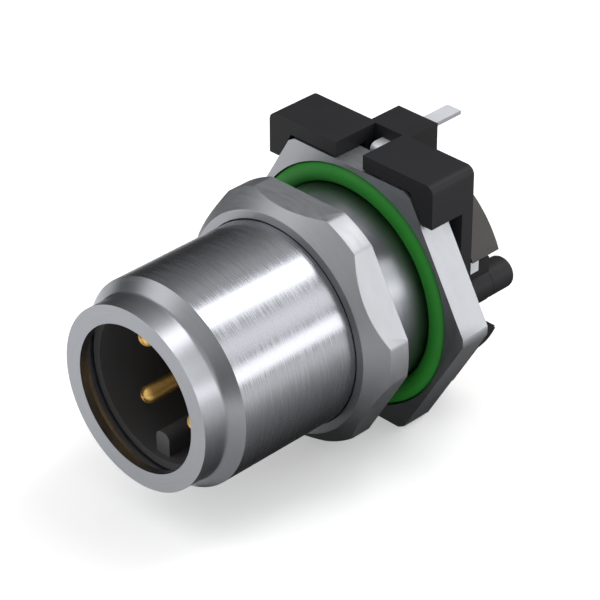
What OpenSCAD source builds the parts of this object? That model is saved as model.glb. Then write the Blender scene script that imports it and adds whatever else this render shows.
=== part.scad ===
// Round panel connector with an M12 thread: a turned shell with pin contacts,
// screwed into a panel by its hexagon nut and soldered to a circuit board behind it.
// Y is the connector's axis and -Y its open mouth; +Z is up. The origin lies on
// the axis in the face of the flange that the panel rests against. Millimetres.

/* [Shell] */
// Diameter of the thread and of the neck in the panel
thread_d = 12; // [11.9:0.05:12]
// Distance from the flange face to the mouth
barrel_len = 15.8; // [15:0.1:17]
// Diameter of the plain nose in front of the thread
nose_d = 10.6; // [10.5:0.05:10.8]
// Length of the plain nose
nose_len = 1.5; // [1:0.1:2]
// Radius of the fillet where the nose meets its chamfer
nose_fillet = 0.4; // [0.1:0.05:0.6]
// Diameter of the mouth inside its lip
mouth_d = 8.5; // [8.4:0.02:8.54]
// Thickness of the inward lip at the mouth
lip_t = 0.5; // [0.4:0.05:0.8]
// Diameter of the bore behind the lip
bore_d = 9.96; // [9.94:0.01:10]
// Diameter of the wider rear bore
rear_bore_d = 10.4; // [10.36:0.01:10.4]
// Distance from the bore's step to the flange face
bore_step = 4.3; // [3.5:0.1:4.6]
// Width of the run-out groove between plug thread and nut thread
relief_w = 0.7; // [0.6:0.05:0.9]
// Diameter of the run-out groove
relief_d = 11; // [10.8:0.1:11.2]

/* [Flange] */
// Width of the flange hexagon across its flats
flange_af = 15.12; // [15:0.02:15.2]
// Diameter that the flange corners are turned to
flange_od = 17.16; // [16.8:0.02:17.3]
// Thickness of the flange
flange_t = 1.97; // [1.8:0.01:2]
// Outer diameter of the seal groove in the flange face
seal_groove_d = 14.5; // [14.4:0.05:14.6]
// Depth of the seal groove
seal_groove_depth = 0.9; // [0.8:0.05:0.95]
// Diameter of the waist behind the flange
waist_d = 11.2; // [11:0.1:11.2]
// Length of the waist
waist_len = 1.4; // [1.36:0.01:1.42]
// Outer diameter of the skirt behind the waist
skirt_d = 13.32; // [13.2:0.02:13.4]
// Distance from the flange face to the board
board_dist = 5.5; // [5.45:0.01:5.6]
// Width of the slots through both sides of the skirt
slot_w = 5.06; // [5.02:0.02:5.1]

/* [Panel nut] */
// Width of the nut across its flats
nut_af = 14; // [13.9:0.02:14]
// Diameter that the nut corners are turned to
nut_od = 15; // [14.8:0.05:15.2]
// Thickness of the nut
nut_t = 2.49; // [2.3:0.01:2.6]
// Outer diameter of the nut's flat front ring
nut_ring_d = 13.1; // [12.9:0.05:13.3]
// Axial rise of the nut's front cone for each millimetre of radius
nut_cone_rise = 1.2; // [1:0.05:1.3]
// Room between the nut and the barrel, on the radius
nut_play = 0.04; // [0.03:0.01:0.06]
// Gap from the nut's back face to the flange face, as it stands
panel_gap = 3.05; // [2.9:0.05:3.2]

/* [Seals] */
// Section diameter of the flange seal
seal_section_d = 1.18; // [1.1:0.01:1.18]
// Section diameter of the seal round the contact carrier
inner_seal_section_d = 0.58; // [0.56:0.01:0.58]

/* [Contacts] */
// Diameter of the circle that the contacts stand on
contact_circle_d = 5.1; // [5:0.05:5.2]
// Diameter of a contact pin
pin_d = 1; // [0.9:0.05:1]
// Distance from the mouth back to the tips of the pins
pin_tip_depth = 2.22; // [2.1:0.02:2.6]
// Radius of the rounded edge at the tip of a pin
pin_tip_round = 0.4; // [0.2:0.05:0.4]
// Diameter of a solder tail
tail_d = 0.8; // [0.7:0.05:0.85]
// Distance from the flange face to the ends of the tails
tail_end = 8.5; // [8:0.1:9]
// Diameter of the retaining collar of a pin
pin_collar_d = 1.5; // [1.4:0.05:1.6]

/* [Contact carrier] */
// Distance from the mouth back to the carrier's rim
rim_depth = 1.5; // [1.4:0.05:1.7]
// Inner diameter of the carrier's cup
cup_d = 8.76; // [8.6:0.02:8.8]
// Distance from the mouth back to the floor of the cup
cup_floor_depth = 10.5; // [10:0.1:11]
// Width of the coding key inside the cup
key_w = 1; // [0.8:0.05:1.1]
// Height of the key above the cup's wall
key_h = 1.38; // [1.2:0.02:1.4]
// Distance from the mouth back to the front of the key
key_depth = 1.87; // [1.8:0.01:2]
// Radius of the rounded edges at the front of the key
key_front_round = 0.3; // [0.1:0.05:0.35]
// Diameter of a board peg
peg_d = 1.9; // [1.88:0.01:1.92]
// Distance between the two board pegs
peg_pitch = 10.15; // [10.1:0.01:10.16]
// Distance from the flange face to the ends of the pegs
peg_end = 7.2; // [7.1:0.05:7.4]

/* [Board holder] */
// Height of the holder's flat top over the axis
holder_top = 8.51; // [8.5:0.01:8.6]
// Width of the holder across its arms
holder_w = 12.12; // [12.08:0.01:12.16]
// Radius of the long edges of the arms
edge_round = 0.5; // [0.3:0.05:0.6]
// Width of the notch between the arms
notch_w = 2; // [1.8:0.1:2.1]
// Height of the fingers' ends over the axis
finger_end = 5.97; // [5.9:0.01:6.1]
// Play between the holder's fingers and the flange
finger_play = 0.08; // [0.06:0.01:0.1]
// Thickness of the holder's plate behind the flange
plate_t = 0.85; // [0.8:0.01:0.85]
// Width across the flats of the plate's hexagonal feet
foot_af = 14.36; // [14.2:0.02:14.4]
// Height of the feet's upper edges over the axis
foot_top = -0.6; // [-0.8:0.05:-0.5]
// Width of the block that carries the ground blade
block_w = 2.9; // [2.8:0.02:3]

/* [Ground terminal] */
// Sheet thickness of the terminal
sheet_t = 0.25; // [0.2:0.01:0.25]
// Width of its blade
blade_w = 1; // [0.9:0.05:1]
// Height of the blade's top face over the axis
blade_top = 7.8; // [7.78:0.01:7.82]
// Distance from the flange face to the blade's end
blade_end = 8.47; // [8:0.05:9]

/* [Hidden] */
$fn = 96;

metal_colour = [0.74, 0.74, 0.76];
plastic_colour = [0.16, 0.16, 0.17];
seal_colour = [0.13, 0.5, 0.13];
gold_colour = [0.85, 0.62, 0.25];
tin_colour = [0.82, 0.84, 0.87];

contact_count = 4;

// Room left between pieces that touch
seat = 0.01;
// Extra length of a cutting shape past the face that it opens
past = 1;

// Angles of the nose's chamfer and of the first contact
chamfer_angle = 45;
first_contact_angle = 45;

thread_r = thread_d / 2;
mouth_y = -barrel_len;
nose_y = mouth_y + nose_len;
step_y = -bore_step;
nut_back_y = -panel_gap;
nut_front_y = nut_back_y - nut_t;
// the nut's front edge just covers the start of the run-out groove
relief_cover = 0.09;
relief_y = nut_front_y + relief_cover;
skirt_y = flange_t + waist_len;
waist_r = waist_d / 2;
waist_play = 0.08;

seal_play = 0.03;
seal_section_r = seal_section_d / 2;
seal_mean_r = thread_r + seal_play + seal_section_r;

carrier_play = 0.03;
carrier_rear_play = 0.05;
carrier_r = bore_d / 2 - carrier_play;
carrier_rear_r = rear_bore_d / 2 - carrier_rear_play;
carrier_end_y = 4.6;
rim_y = mouth_y + rim_depth;
cup_floor_y = mouth_y + cup_floor_depth;
inner_seal_y = -2.1;
inner_seal_groove_w = 0.8;
inner_seal_groove_r = rear_bore_d / 2 - inner_seal_section_d - 2 * seat;
pin_collar_y = 3.4;

// the lug beside each peg, in the skirt's slot
lug_x = 5.5;
lug_top = 1.8;
lug_root = 0.4;
lug_round = 0.2;
peg_x = peg_pitch / 2;

// play between the holder's parts and the metal round them
plate_play = 0.04;
block_play = 0.05;
boss_play = 0.06;
blade_play = 0.03;
tab_play = 0.04;
// how much narrower the way into the plate is on each side, so that the holder snaps on
snap = 0.5;
plate_back_y = skirt_y - plate_play;
plate_y = plate_back_y - plate_t;
arm_y = 0.08;
arm_bottom = flange_af / 2 + finger_play;
block_root = 0.16;
block_front_y = plate_back_y - block_root;
block_bottom = skirt_d / 2 + block_play;

// the terminal lies between the flange and the holder's plate
sheet_back_y = plate_y - seat;
sheet_front_y = sheet_back_y - sheet_t;
ring_play = 0.1;
ring_inner_r = waist_r + ring_play;
ring_outer_r = 6.9;
ring_mid_r = (ring_inner_r + ring_outer_r) / 2;
// height below which the ring is open, so that it slips over the waist
ring_open_z = -2;
bend_r = 0.4;
bump_r = 0.35;
bump_angles = [0, 50, 130, 180];
side_tab_x = 5.53;
side_tab_bottom = 1.53;
side_tab_top = 2.36;
side_tab_end_y = 4.3;

// An outline in x and z, carried from y0 to y1
module along_y(y0, y1) {
    translate([0, y1, 0]) rotate([90, 0, 0]) linear_extrude(y1 - y0) children();
}

// An outline in y and z, carried from -w / 2 to w / 2 along x
module along_x(w) {
    translate([-w / 2, 0, 0]) rotate([90, 0, 90]) linear_extrude(w) children();
}

// An outline in radius and y, turned round the connector's axis
module turned() {
    rotate([-90, 0, 0]) rotate_extrude() children();
}

// A plain disc or rod round a line parallel to the axis
module rod(r, y0, y1, x = 0, z = 0) {
    translate([x, y0, z]) rotate([-90, 0, 0]) cylinder(r = r, h = y1 - y0);
}

// A hexagon with a flat on top
module hexagon(across_flats) {
    circle(r = across_flats / sqrt(3), $fn = 6);
}

module mirrored() {
    children();
    mirror([1, 0, 0]) children();
}

module mirrored_outline() {
    children();
    mirror([1, 0]) children();
}

// Points on an arc from angle a0 to a1, in straight steps
function arc(x, y, r, a0, a1, steps = 6) =
    [for (i = [0 : steps]) let (a = a0 + (a1 - a0) * i / steps) [x + r * cos(a), y + r * sin(a)]];

// Shell

module barrel_outline() {
    nose_r = nose_d / 2;
    chamfer = thread_r - nose_r;
    // length of the fillet along each side of the corner in front of the chamfer
    reach = nose_fillet * tan(chamfer_angle / 2);
    polygon([
        [0, mouth_y], [nose_r, mouth_y], [nose_r, nose_y],
        [thread_r, nose_y + chamfer], [thread_r, relief_y],
        [relief_d / 2, relief_y], [relief_d / 2, relief_y + relief_w],
        [thread_r, relief_y + relief_w], [thread_r, flange_t],
        [waist_r, flange_t], [waist_r, skirt_y], [skirt_d / 2, skirt_y],
        [skirt_d / 2, board_dist], [0, board_dist]
    ]);
    difference() {
        polygon([
            [nose_r - seat, nose_y], [nose_r - seat, nose_y - reach], [nose_r, nose_y - reach],
            [nose_r + reach * sin(chamfer_angle), nose_y + reach * cos(chamfer_angle)]
        ]);
        translate([nose_r + nose_fillet, nose_y - reach]) circle(r = nose_fillet);
    }
}

module bore_outline() {
    polygon([
        [0, mouth_y - past], [mouth_d / 2, mouth_y - past],
        [mouth_d / 2, mouth_y + lip_t], [bore_d / 2, mouth_y + lip_t],
        [bore_d / 2, step_y], [rear_bore_d / 2, step_y],
        [rear_bore_d / 2, board_dist + past], [0, board_dist + past]
    ]);
}

module shell() {
    color(metal_colour) difference() {
        union() {
            turned() barrel_outline();
            intersection() {
                along_y(0, flange_t) hexagon(flange_af);
                rod(flange_od / 2, 0, flange_t);
            }
        }
        turned() bore_outline();
        // seal groove in the flange face
        difference() {
            rod(seal_groove_d / 2, -past, seal_groove_depth);
            rod(thread_r, -2 * past, seal_groove_depth + past);
        }
        // slots through the sides of waist and skirt
        mirrored() translate([rear_bore_d / 2 - past, flange_t, -slot_w / 2])
            cube([skirt_d / 2, board_dist, slot_w]);
    }
}

// Panel nut

module panel_nut() {
    nut_r = nut_od / 2;
    ring_r = nut_ring_d / 2;
    bore_r = thread_r + nut_play;
    color(metal_colour) intersection() {
        along_y(nut_front_y, nut_back_y) hexagon(nut_af);
        turned() polygon([
            [bore_r, nut_front_y], [ring_r, nut_front_y],
            [nut_r, nut_front_y + nut_cone_rise * (nut_r - ring_r)],
            [nut_r, nut_back_y], [bore_r, nut_back_y]
        ]);
    }
}

// Seals

module o_ring(mean_r, section_r, y) {
    turned() translate([mean_r, y]) circle(r = section_r);
}

module flange_seal() {
    color(seal_colour) o_ring(seal_mean_r, seal_section_r, seal_groove_depth - seal_section_r);
}

module carrier_seal() {
    section_r = inner_seal_section_d / 2;
    color(seal_colour) o_ring(rear_bore_d / 2 - seat - section_r, section_r, inner_seal_y);
}

// Contacts

function contact_angle(i) = first_contact_angle + 360 / contact_count * (i - 1);
function contact_x(i) = contact_circle_d / 2 * cos(contact_angle(i));
function contact_z(i) = contact_circle_d / 2 * sin(contact_angle(i));

module contact_pin(i) {
    tip_y = mouth_y + pin_tip_depth;
    pin_r = pin_d / 2;
    tail_r = tail_d / 2;
    tail_chamfer = 0.15;
    tail_root_y = (pin_collar_y + carrier_end_y) / 2;
    color(gold_colour) translate([contact_x(i), 0, contact_z(i)]) {
        // the solder tail, rooted in the collar
        turned() polygon([
            [0, tail_root_y], [tail_r, tail_root_y], [tail_r, tail_end - tail_chamfer],
            [tail_r - tail_chamfer, tail_end], [0, tail_end]
        ]);
        // pin and collar, the tip's edge rounded
        turned() difference() {
            polygon([
                [0, tip_y], [pin_r, tip_y], [pin_r, pin_collar_y], [pin_collar_d / 2, pin_collar_y],
                [pin_collar_d / 2, carrier_end_y], [0, carrier_end_y]
            ]);
            translate([pin_r - pin_tip_round, tip_y + pin_tip_round]) difference() {
                translate([0, -pin_tip_round - past]) square(pin_tip_round + past);
                circle(r = pin_tip_round);
            }
        }
    }
}

module contact_pin_1() { contact_pin(1); }
module contact_pin_2() { contact_pin(2); }
module contact_pin_3() { contact_pin(3); }
module contact_pin_4() { contact_pin(4); }

// Contact carrier: cup, coding key, lugs and board pegs in one moulding

module carrier_body() {
    rim_chamfer = 0.1;
    difference() {
        turned() polygon([
            [0, rim_y], [carrier_r - rim_chamfer, rim_y], [carrier_r, rim_y + rim_chamfer],
            [carrier_r, step_y + seat], [carrier_rear_r, step_y + seat],
            [carrier_rear_r, carrier_end_y], [0, carrier_end_y]
        ]);
        rod(cup_d / 2, rim_y - past, cup_floor_y);
        // groove for the seal
        difference() {
            rod(carrier_r + past, inner_seal_y - inner_seal_groove_w / 2,
                inner_seal_y + inner_seal_groove_w / 2);
            rod(inner_seal_groove_r, inner_seal_y - past, inner_seal_y + past);
        }
    }
}

// The coding key on the cup's wall, its upper and front edges rounded
module coding_key() {
    key_round = 0.4;
    front_y = mouth_y + key_depth;
    back_y = cup_floor_y + seat;
    root_z = -(carrier_r + cup_d / 2) / 2;
    top_z = key_h - cup_d / 2;
    half_w = key_w / 2;
    turn_y = front_y + key_front_round;
    intersection() {
        along_y(front_y, back_y) polygon(concat(
            [[-half_w, root_z], [half_w, root_z]],
            arc(half_w - key_round, top_z - key_round, key_round, 0, 90),
            arc(key_round - half_w, top_z - key_round, key_round, 90, 180)
        ));
        along_x(key_w + past) polygon(concat(
            [[front_y - past, root_z - past], [back_y + past, root_z - past],
             [back_y + past, top_z + past], [turn_y, top_z + past]],
            arc(turn_y, top_z - key_front_round, key_front_round, 90, 180),
            [[front_y - past, top_z - key_front_round]]
        ));
        translate([0, 0, root_z - past]) linear_extrude(top_z - root_z + 2 * past) polygon(concat(
            [[-half_w - past, back_y + past], [-half_w - past, turn_y]],
            arc(key_front_round - half_w, turn_y, key_front_round, 180, 270),
            arc(half_w - key_front_round, turn_y, key_front_round, 270, 360),
            [[half_w + past, turn_y], [half_w + past, back_y + past]]
        ));
    }
}

// The lug that stands in a slot of the skirt, its round side in line with the peg
module lug() {
    side_r = peg_d / 2 - seat;
    inner_x = carrier_r - lug_root;
    translate([(inner_x + lug_x) / 2, 0, 0]) along_x(lug_x - inner_x) polygon(concat(
        [[skirt_y, lug_top], [skirt_y, -side_r], [board_dist, -side_r]],
        arc(board_dist - lug_round, lug_top - lug_round, lug_round, 0, 90)
    ));
    along_y(skirt_y, board_dist) polygon(arc(peg_x, 0, side_r, -90, 90, 12));
}

module peg() {
    peg_r = peg_d / 2;
    peg_round = 0.3;
    peg_root = 0.1;
    translate([peg_x, 0, 0]) turned() {
        difference() {
            translate([0, board_dist - peg_root]) square([peg_r, peg_end - board_dist + peg_root]);
            translate([peg_r - peg_round, peg_end - peg_round]) difference() {
                square(peg_round + past);
                circle(r = peg_round);
            }
        }
    }
}

module contact_carrier() {
    color(plastic_colour) difference() {
        union() {
            carrier_body();
            coding_key();
            mirrored() {
                lug();
                peg();
            }
        }
        for (i = [1 : contact_count]) {
            rod(pin_d / 2 + seat, cup_floor_y - past, carrier_end_y + past, contact_x(i), contact_z(i));
            rod(pin_collar_d / 2 + seat, pin_collar_y - seat, carrier_end_y + past,
                contact_x(i), contact_z(i));
        }
    }
}

// Board holder: clips over the flange from above and carries the ground blade

// One arm over the flange with the finger that reaches down its side
module arm_outline() {
    half_w = holder_w / 2;
    // the flange's flat at 30 degrees, moved out by the play
    flat_dist = flange_af / 2 + finger_play;
    function flat_x(z) = (flat_dist - z * sin(30)) / cos(30);
    polygon([
        [notch_w / 2, arm_bottom], [flat_x(arm_bottom), arm_bottom],
        [flat_x(finger_end), finger_end], [half_w, finger_end],
        [half_w, holder_top - edge_round], [half_w - edge_round, holder_top],
        [notch_w / 2, holder_top]
    ]);
    translate([half_w - edge_round, holder_top - edge_round]) circle(r = edge_round);
}

// The U-shaped plate in the waist, its feet hexagonal like the flange
module plate_outline() {
    half_w = holder_w / 2;
    difference() {
        union() {
            translate([-half_w, foot_top])
                square([holder_w, holder_top - edge_round - foot_top]);
            translate([-half_w + edge_round, finger_end])
                square([holder_w - 2 * edge_round, holder_top - finger_end]);
            mirrored_outline() translate([half_w - edge_round, holder_top - edge_round])
                circle(r = edge_round);
            intersection() {
                hexagon(foot_af);
                translate([-flange_od / 2, foot_top - flange_od]) square(flange_od);
            }
        }
        // the waist, and the way open below it
        circle(r = waist_r + waist_play);
        translate([snap - waist_r, -flange_od]) square([waist_d - 2 * snap, flange_od]);
    }
}

module board_holder() {
    half_w = holder_w / 2;
    boss_x = rear_bore_d / 2;
    boss_h = slot_w / 2 - boss_play;
    color(plastic_colour) difference() {
        union() {
            along_y(plate_y, plate_back_y) {
                plate_outline();
                // bosses that key the holder in the slots
                mirrored_outline()
                    translate([boss_x, foot_top]) square([half_w - boss_x, boss_h - foot_top]);
            }
            along_y(arm_y, plate_back_y) mirrored_outline() arm_outline();
            translate([-block_w / 2, block_front_y, block_bottom])
                cube([block_w, board_dist - block_front_y, holder_top - block_bottom]);
        }
        // notch between the arms, open down to the terminal
        translate([-notch_w / 2, -past, ring_outer_r])
            cube([notch_w, block_front_y + past, holder_top]);
        // slot for the blade
        translate([-blade_w / 2 - blade_play, 0, blade_top - sheet_t - blade_play])
            cube([blade_w + 2 * blade_play, board_dist + past, sheet_t + 2 * blade_play]);
        // pockets for the terminal's side tabs
        mirrored() translate([side_tab_x - tab_play, 0, side_tab_bottom - tab_play])
            cube([sheet_t + 2 * tab_play, board_dist, boss_h - side_tab_bottom + 2 * tab_play]);
    }
}

// Ground terminal: a stamped ring with contact bumps, two side tabs and the blade

module blade_outline() {
    blade_bottom = blade_top - sheet_t;
    // upright part behind the flange, up to the bend
    translate([sheet_front_y, ring_mid_r])
        square([sheet_t, blade_top - bend_r - ring_mid_r]);
    // the bend
    intersection() {
        translate([sheet_front_y + bend_r, blade_top - bend_r]) difference() {
            circle(r = bend_r);
            circle(r = bend_r - sheet_t);
        }
        translate([sheet_front_y, blade_top - bend_r]) square(bend_r);
    }
    // the blade to the board
    translate([sheet_front_y + bend_r, blade_bottom])
        square([blade_end - sheet_front_y - bend_r, sheet_t]);
}

module ground_terminal() {
    color(tin_colour) {
        difference() {
            rod(ring_outer_r, sheet_front_y, sheet_back_y);
            rod(ring_inner_r, sheet_front_y - past, sheet_back_y + past);
            translate([-flange_od / 2, 0, ring_open_z - flange_od])
                cube([flange_od, board_dist, flange_od]);
        }
        along_x(blade_w) blade_outline();
        mirrored() translate([side_tab_x, sheet_front_y, side_tab_bottom])
            cube([sheet_t, side_tab_end_y - sheet_front_y, side_tab_top - side_tab_bottom]);
        for (a = bump_angles)
            translate([ring_mid_r * cos(a), flange_t + seat, ring_mid_r * sin(a)])
                rotate([-90, 0, 0])
                    cylinder(r1 = bump_r / 2, r2 = bump_r, h = sheet_front_y - flange_t);
    }
}

shell();
panel_nut();
flange_seal();
contact_carrier();
carrier_seal();
contact_pin_1();
contact_pin_2();
contact_pin_3();
contact_pin_4();
board_holder();
ground_terminal();
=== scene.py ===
# %% [markdown]
# # A round panel connector, dressed for its portrait
# The connector is a turned metal shell with pin contacts inside. Its long barrel goes
# through a hole in a panel, a hexagon nut holds it there, and solder tails, two pegs and a
# ground blade reach back to a circuit board.
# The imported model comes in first, as a frame. Each new piece is modelled over the part of the
# frame that it stands for, so nothing has to be measured or moved afterwards.

# %% Load the frame
import math

import bmesh
import bpy
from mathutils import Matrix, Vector


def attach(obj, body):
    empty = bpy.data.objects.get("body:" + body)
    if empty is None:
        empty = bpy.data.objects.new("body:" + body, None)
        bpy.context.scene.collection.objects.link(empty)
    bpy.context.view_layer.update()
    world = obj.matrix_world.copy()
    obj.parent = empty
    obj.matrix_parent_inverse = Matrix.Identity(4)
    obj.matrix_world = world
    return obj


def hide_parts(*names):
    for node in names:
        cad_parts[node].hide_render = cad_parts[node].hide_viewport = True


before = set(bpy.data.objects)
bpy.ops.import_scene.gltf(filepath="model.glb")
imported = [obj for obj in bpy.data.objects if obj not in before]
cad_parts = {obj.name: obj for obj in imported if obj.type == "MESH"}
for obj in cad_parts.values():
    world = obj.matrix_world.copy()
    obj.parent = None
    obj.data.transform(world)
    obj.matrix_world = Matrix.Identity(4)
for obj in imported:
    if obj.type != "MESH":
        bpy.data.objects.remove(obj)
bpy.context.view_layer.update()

# %% [markdown]
# ## The camera
# The picture was taken from the front right and from above, with a long lens. A camera is
# placed by the numbers of that view: where it stands, the point that it looks at, and the
# focal length. `to_track_quat` turns the camera's -Z towards that point and keeps its top
# upright, which saves working out angles by hand.

# %% Place the camera
MM = 0.001

camera_place = Vector((90.27, -94.68, 81.79)) * MM
camera_target = Vector((-0.149, -3.51, 0.49)) * MM
bpy.ops.object.camera_add(location=camera_place)
camera = bpy.context.active_object
camera.name = "portrait_camera"
camera.rotation_mode = "QUATERNION"
camera.rotation_quaternion = (camera_target - camera_place).to_track_quat("-Z", "Y")
camera.data.sensor_width = 36
camera.data.lens = 168.16
camera.data.clip_start = 10 * MM
camera.data.clip_end = 10
bpy.context.scene.camera = camera
print("camera distance in mm:", round((camera_target - camera_place).length / MM, 1))

# %% [markdown]
# ## Working in millimetres
# The drawing of this connector is in millimetres, and Blender's frame is in metres. Every
# piece is modelled at the origin with its sizes in millimetres, and shrunk to metres as its
# last step, so that the numbers below read like those of the drawing. The connector's axis is
# Y, its mouth points along -Y, and the flange's front face is at y = 0.

# %% Sizes that several pieces share, in millimetres
mouth_y = -15.8
lip_t = 0.5
thread_r = 6.0
flange_t = 1.97
flange_af = 15.12
waist_r = 5.6
skirt_y = 3.37
skirt_r = 6.66
board_y = 5.5
contact_circle_r = 2.55
contact_angles = (45, 135, 225, 315)
carrier_end_y = 4.6
peg_x = 5.075
ring_outer_r = 6.9
fit = 0.01
print("length from mouth to board:", round(board_y - mouth_y, 2), "mm")

# %% [markdown]
# ## Bench tools
# A few moves come back on nearly every piece, so each gets a small function: drawing an
# outline point by point, spinning it round an axis as a lathe does, pulling it straight as an
# extrusion, cutting one solid with another, and breaking the sharp edges.
# The outline starts as a plane whose corners are merged into one vertex. Extruding that vertex
# again and again draws the line, as E and a click do by hand. A spun or pulled solid can come
# out with its faces turned inwards, so its normals are recalculated at the end.

# %% Draw an outline
def arc(cx, cy, r, start, end, steps=6):
    """Points on a round corner, from one angle to another in degrees."""
    angles = [math.radians(start + (end - start) * i / steps) for i in range(steps + 1)]
    return [(cx + r * math.cos(a), cy + r * math.sin(a)) for a in angles]


def draw_outline(name, points):
    """A closed line through 3D points, left open in edit mode with all of it selected."""
    bpy.ops.object.select_all(action="DESELECT")
    bpy.ops.mesh.primitive_plane_add(size=1)
    piece = bpy.context.active_object
    piece.name = name
    bpy.ops.object.mode_set(mode="EDIT")
    bpy.ops.mesh.select_all(action="SELECT")
    bpy.ops.mesh.merge(type="CENTER")
    bpy.ops.transform.translate(value=points[0])
    for here, there in zip(points, points[1:]):
        step = [b - a for a, b in zip(here, there)]
        bpy.ops.mesh.extrude_vertices_move(TRANSFORM_OT_translate={"value": step})
    bpy.ops.mesh.select_all(action="SELECT")
    return piece


# %% Spin an outline round the connector's axis, or a line beside it
# points that are closer than this, in millimetres, count as one
TINY = 0.0005


def turn(name, profile, segments, x=0.0, z=0.0):
    """A turned solid from (radius, y) points; an outline that ends off the axis gets closed."""
    piece = draw_outline(name, [(x + r, y, z) for r, y in profile])
    mesh = bmesh.from_edit_mesh(piece.data)
    ends = [v for v in mesh.verts if len(v.link_edges) == 1]
    on_axis = all(abs(v.co.x - x) < TINY for v in ends)
    if not on_axis:
        mesh.edges.new(ends)
        bmesh.update_edit_mesh(piece.data)
    bpy.ops.mesh.select_all(action="SELECT")
    bpy.ops.mesh.spin(steps=segments, angle=2 * math.pi, center=(x, 0, z), axis=(0, 1, 0))
    bpy.ops.mesh.select_all(action="SELECT")
    bpy.ops.mesh.remove_doubles(threshold=TINY)
    bpy.ops.mesh.normals_make_consistent(inside=False)
    bpy.ops.object.mode_set(mode="OBJECT")
    return piece


# %% Pull an outline straight along the axis
def pull(name, outline, y0, y1):
    """A solid from an outline of (x, z) points, carried from y0 to y1."""
    piece = draw_outline(name, [(x, y0, z) for x, z in outline])
    bpy.ops.mesh.edge_face_add()
    bpy.ops.mesh.extrude_region_move(TRANSFORM_OT_translate={"value": (0, y1 - y0, 0)})
    bpy.ops.mesh.select_all(action="SELECT")
    bpy.ops.mesh.normals_make_consistent(inside=False)
    bpy.ops.object.mode_set(mode="OBJECT")
    return piece


def block(name, low, high):
    """A box between two corners, as a cutter or as the start of a piece."""
    return pull(name, [(low[0], low[2]), (high[0], low[2]), (high[0], high[2]), (low[0], high[2])],
                low[1], high[1])


# %% Join and cut solids
# cutters stand this far out of the piece, in millimetres
PAST = 0.5


def combine(piece, tool, operation):
    """Adds the tool to the piece, or cuts it away, and clears the tool off the bench."""
    bpy.ops.object.select_all(action="DESELECT")
    bpy.context.view_layer.objects.active = piece
    piece.select_set(True)
    step = piece.modifiers.new("combine", "BOOLEAN")
    step.operation = operation
    step.solver = "EXACT"
    step.object = tool
    bpy.ops.object.modifier_apply(modifier=step.name)
    bpy.data.objects.remove(tool)


def join(piece, tool):
    """Makes one solid of two."""
    combine(piece, tool, "UNION")


def cut(piece, tool):
    """Takes the tool's shape out of the piece."""
    combine(piece, tool, "DIFFERENCE")


# %% Break the sharp edges
def soften(piece, width, segments=2, sharpest=30):
    """A small bevel on every sharp edge; flat and turned faces keep their own shading."""
    bpy.ops.object.select_all(action="DESELECT")
    bpy.context.view_layer.objects.active = piece
    piece.select_set(True)
    bpy.ops.object.shade_smooth_by_angle(angle=math.radians(sharpest))
    bevel = piece.modifiers.new("broken edges", "BEVEL")
    bevel.width = width
    bevel.segments = segments
    bevel.limit_method = "ANGLE"
    bevel.angle_limit = math.radians(sharpest)
    bevel.miter_outer = "MITER_ARC"
    bevel.harden_normals = True
    bpy.ops.object.modifier_apply(modifier=bevel.name)


# %% [markdown]
# ## Finishes come as node groups
# Metal, plastic and rubber each show marks of how they were made. Turned metal carries fine
# rings round the axis, moulded plastic a fine grain. Each kind of mark is a node group that
# puts out a height and a mask, and every material sets the group's values for itself.

# %% Helpers for node trees
def new_group(name, inputs, outputs):
    """An empty shader node group with named sockets; inputs carry their start values."""
    group = bpy.data.node_groups.new(name, "ShaderNodeTree")
    for label, value in inputs.items():
        socket = group.interface.new_socket(label, in_out="INPUT", socket_type="NodeSocketFloat")
        socket.default_value = value
    for label, kind in outputs.items():
        group.interface.new_socket(label, in_out="OUTPUT", socket_type=kind)
    return group, group.nodes.new("NodeGroupInput"), group.nodes.new("NodeGroupOutput")


def maths(tree, operation, a, b=None, clamp=False):
    """One Math node; each side is a socket or a number."""
    node = tree.nodes.new("ShaderNodeMath")
    node.operation = operation
    node.use_clamp = clamp
    for slot, value in enumerate((a, b)):
        if value is None:
            continue
        if isinstance(value, (int, float)):
            node.inputs[slot].default_value = value
        else:
            tree.links.new(value, node.inputs[slot])
    return node.outputs[0]


# %% [markdown]
# ### Turning marks
# A lathe tool leaves fine rings, and brushing breaks them into streaks of some length. A noise
# that runs fast along y and slowly round the axis gives such streaks on a barrel. On a flat end
# face the rings lie side by side along the radius instead, so the noise runs along the sum of y
# and the radius. The streaks are strong only where the real part is brushed, between two places
# along y, and faint elsewhere. The two places start far outside the connector, so a finish that
# leaves them alone is marked all over.

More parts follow.
